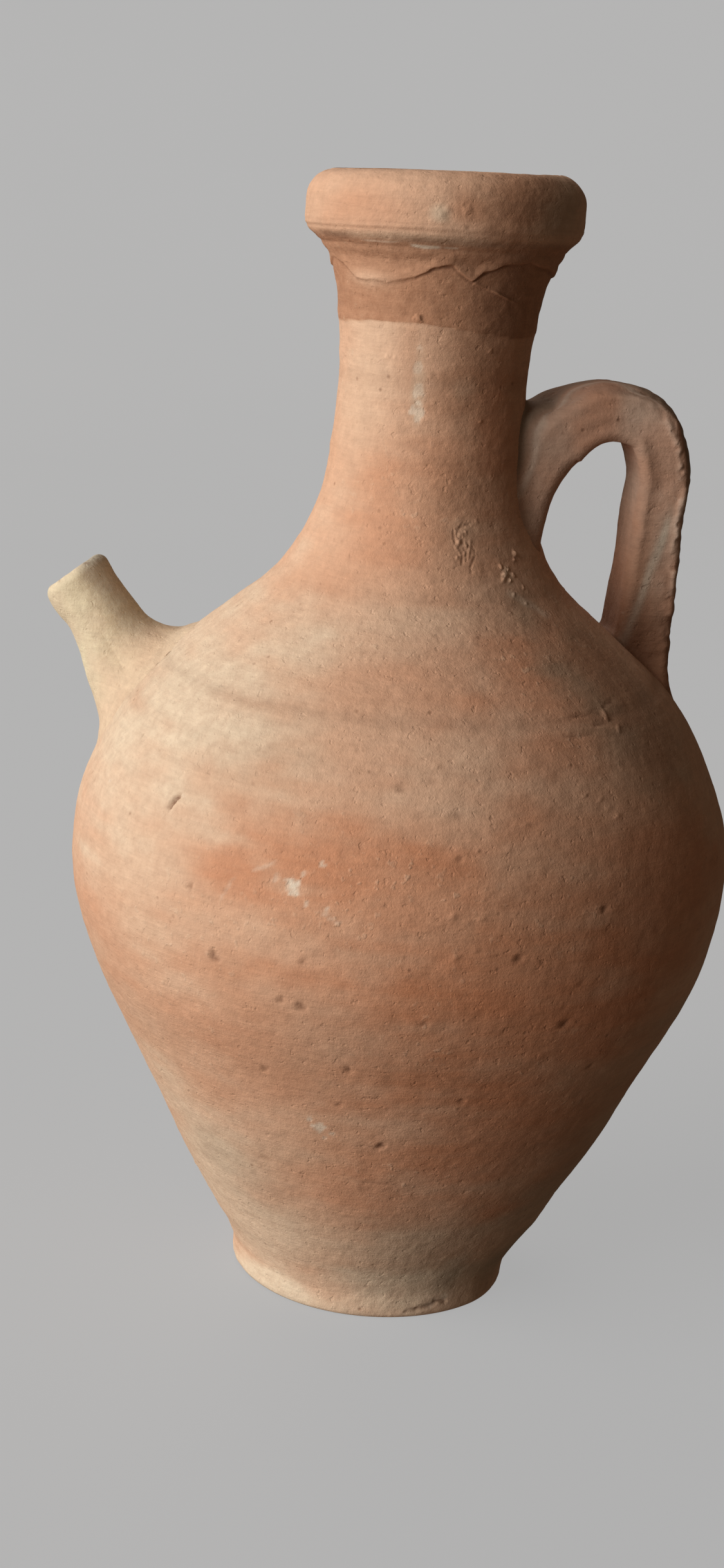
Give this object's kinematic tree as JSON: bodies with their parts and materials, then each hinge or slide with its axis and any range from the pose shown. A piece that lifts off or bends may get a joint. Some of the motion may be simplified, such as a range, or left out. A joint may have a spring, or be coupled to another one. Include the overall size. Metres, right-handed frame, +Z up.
{
  "type": "ceramic pitcher",
  "caption": "Unglazed terracotta water jug with a round belly, narrow neck, rolled rim, stubby pouring spout on the shoulder and a strap handle.",
  "frame": {"origin": "centre of the flat underside that the jug stands on", "axes": "+Z up along the neck, -X towards the spout, +X towards the handle"},
  "size_m": [0.2203, 0.2052, 0.35],
  "materials": {
    "red_clay": "matt, unglazed, weathered",
    "dark_clay": "matt, unglazed",
    "pale_clay": "matt, unglazed",
    "brown_clay": "matt, unglazed, scratched"
  },
  "bodies": {
    "root": {"base_disc": "red_clay", "lower_wall": "red_clay", "shoulder": "red_clay", "neck_joint_coil": "red_clay", "neck": "red_clay", "neck_band": "dark_clay", "rim_ring": "red_clay", "spout": "pale_clay", "spout_coil": "pale_clay", "handle_strap": "brown_clay", "neck_pad": "brown_clay", "shoulder_pad": "brown_clay"}
  },
  "joints": []
}
